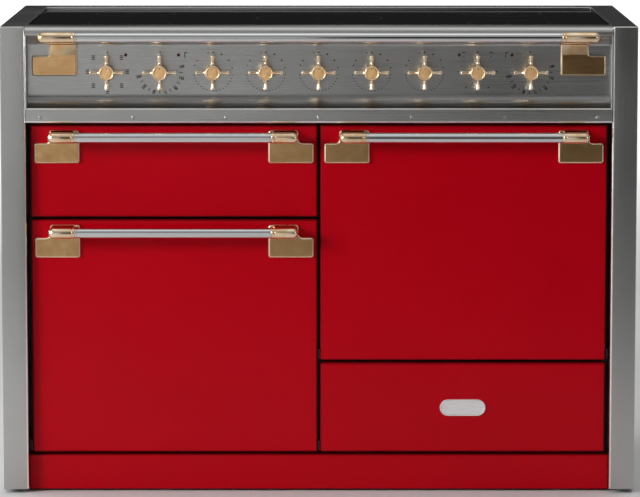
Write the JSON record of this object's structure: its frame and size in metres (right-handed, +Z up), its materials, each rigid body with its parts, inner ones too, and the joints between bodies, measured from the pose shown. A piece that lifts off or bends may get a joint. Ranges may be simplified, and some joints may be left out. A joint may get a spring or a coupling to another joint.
{
  "type": "induction range",
  "caption": "Free-standing induction range with red enamel fronts, stainless body, brass cross knobs, drop-down oven doors, pull-out broiler, storage drawer and black glass hob.",
  "frame": {"origin": "floor level under the middle of the width and depth, hand rail included", "axes": "+X to the right seen from the front, +Y to the back, +Z up"},
  "size_m": [1.216, 0.654, 0.902],
  "materials": {
    "red_enamel": "gloss",
    "stainless": "brushed",
    "polished_steel": "polished",
    "brass": "polished",
    "black_glass": "gloss",
    "black_enamel": "satin",
    "oven_enamel": "speckled gloss",
    "galvanised": "dull",
    "aluminium": "dull",
    "copper_coil": "wound",
    "black_plastic": "matte",
    "circuit_board": "matte",
    "red_lens": "gloss",
    "seal_rubber": "matte",
    "element_sheath": "matte",
    "wire_chrome": "polished",
    "silver_badge": "satin"
  },
  "bodies": {
    "chassis": {"side_panel_left": "stainless", "side_panel_right": "stainless", "back_panel": "galvanised", "base_tray": "galvanised", "levelling_feet": "black_plastic", "kick_plate": "red_enamel", "front_frame": "black_enamel", "control_fascia": "stainless", "fascia_screws": "polished_steel", "rail_brackets": "brass", "hand_rail": "polished_steel", "indicator_lamps": "red_lens", "control_switches": "black_plastic", "hob_glass": "black_glass", "hob_tray": "aluminium", "rear_vent_rail": "stainless", "induction_coils": "copper_coil", "induction_boards": "circuit_board", "left_oven_cavity": "oven_enamel", "right_oven_cavity": "oven_enamel", "broiler_cavity": "oven_enamel", "fan_motors": "galvanised", "fan_covers": "oven_enamel", "heating_elements": "element_sheath", "rack_guides": "wire_chrome", "oven_door_seals": "seal_rubber", "door_hinges": "black_enamel", "drawer_runners": "galvanised", "terminal_box": "black_plastic"},
    "left_oven_door": {"left_oven_door_panel": "red_enamel", "left_oven_door_liner": "oven_enamel", "left_oven_handle_bar": "polished_steel", "left_oven_handle_brackets": "brass"},
    "right_oven_door": {"right_oven_door_panel": "red_enamel", "right_oven_door_liner": "oven_enamel", "right_oven_handle_bar": "polished_steel", "right_oven_handle_brackets": "brass"},
    "broiler_drawer": {"broiler_front": "red_enamel", "broiler_handle_bar": "polished_steel", "broiler_handle_brackets": "brass", "broiler_carriage": "galvanised", "broiler_pan": "oven_enamel", "broiler_grid": "wire_chrome"},
    "storage_drawer": {"storage_front": "red_enamel", "storage_box": "galvanised", "badge_plate": "silver_badge"},
    "left_rack": {"left_oven_rack": "wire_chrome"},
    "right_rack": {"right_oven_rack": "wire_chrome"},
    "left_fan": {"left_oven_fan": "galvanised"},
    "right_fan": {"right_oven_fan": "galvanised"},
    "left_oven_mode_control": {"left_oven_mode_knob": "brass"},
    "left_oven_heat_control": {"left_oven_heat_knob": "brass"},
    "zone_1_control": {"zone_1_knob": "brass"},
    "zone_2_control": {"zone_2_knob": "brass"},
    "zone_3_control": {"zone_3_knob": "brass"},
    "zone_4_control": {"zone_4_knob": "brass"},
    "zone_5_control": {"zone_5_knob": "brass"},
    "broiler_control": {"broiler_knob": "brass"},
    "right_oven_heat_control": {"right_oven_heat_knob": "brass"}
  },
  "joints": [
    {"name": "left_oven_door_hinge", "type": "hinge", "parent": "chassis", "child": "left_oven_door", "pos_m": [-0.2775, -0.255, 0.0895], "axis": [1, 0, 0], "range_deg": [0, 90], "stiffness_Nm_per_rad": 10, "springref_deg": -20.05},
    {"name": "left_rack_slide", "type": "slide", "parent": "chassis", "child": "left_rack", "axis": [0, -1, 0], "range_m": [0, 0.045]},
    {"name": "left_fan_spin", "type": "hinge", "parent": "chassis", "child": "left_fan", "pos_m": [-0.2775, 0.202, 0.307], "axis": [0, 1, 0], "continuous": true},
    {"name": "right_oven_door_hinge", "type": "hinge", "parent": "chassis", "child": "right_oven_door", "pos_m": [0.2775, -0.255, 0.269], "axis": [1, 0, 0], "range_deg": [0, 90], "stiffness_Nm_per_rad": 10, "springref_deg": -20.05},
    {"name": "right_rack_slide", "type": "slide", "parent": "chassis", "child": "right_rack", "axis": [0, -1, 0], "range_m": [0, 0.045]},
    {"name": "right_fan_spin", "type": "hinge", "parent": "chassis", "child": "right_fan", "pos_m": [0.2775, 0.202, 0.488], "axis": [0, 1, 0], "continuous": true},
    {"name": "broiler_slide", "type": "slide", "parent": "chassis", "child": "broiler_drawer", "axis": [0, -1, 0], "range_m": [0, 0.3]},
    {"name": "storage_slide", "type": "slide", "parent": "chassis", "child": "storage_drawer", "axis": [0, -1, 0], "range_m": [0, 0.33]},
    {"name": "left_oven_mode_turn", "type": "hinge", "parent": "chassis", "child": "left_oven_mode_control", "pos_m": [-0.404, -0.2575, 0.814], "axis": [0, 1, 0], "continuous": true},
    {"name": "left_oven_heat_turn", "type": "hinge", "parent": "chassis", "child": "left_oven_heat_control", "pos_m": [-0.303, -0.2575, 0.814], "axis": [0, 1, 0], "range_deg": [0, 285]},
    {"name": "zone_1_turn", "type": "hinge", "parent": "chassis", "child": "zone_1_control", "pos_m": [-0.202, -0.2575, 0.814], "axis": [0, 1, 0], "range_deg": [0, 300]},
    {"name": "zone_2_turn", "type": "hinge", "parent": "chassis", "child": "zone_2_control", "pos_m": [-0.101, -0.2575, 0.814], "axis": [0, 1, 0], "range_deg": [0, 300]},
    {"name": "zone_3_turn", "type": "hinge", "parent": "chassis", "child": "zone_3_control", "pos_m": [0, -0.2575, 0.814], "axis": [0, 1, 0], "range_deg": [0, 300]},
    {"name": "zone_4_turn", "type": "hinge", "parent": "chassis", "child": "zone_4_control", "pos_m": [0.101, -0.2575, 0.814], "axis": [0, 1, 0], "range_deg": [0, 300]},
    {"name": "zone_5_turn", "type": "hinge", "parent": "chassis", "child": "zone_5_control", "pos_m": [0.202, -0.2575, 0.814], "axis": [0, 1, 0], "range_deg": [0, 300]},
    {"name": "broiler_turn", "type": "hinge", "parent": "chassis", "child": "broiler_control", "pos_m": [0.303, -0.2575, 0.814], "axis": [0, 1, 0], "range_deg": [0, 300]},
    {"name": "right_oven_heat_turn", "type": "hinge", "parent": "chassis", "child": "right_oven_heat_control", "pos_m": [0.404, -0.2575, 0.814], "axis": [0, 1, 0], "range_deg": [0, 285]}
  ]
}
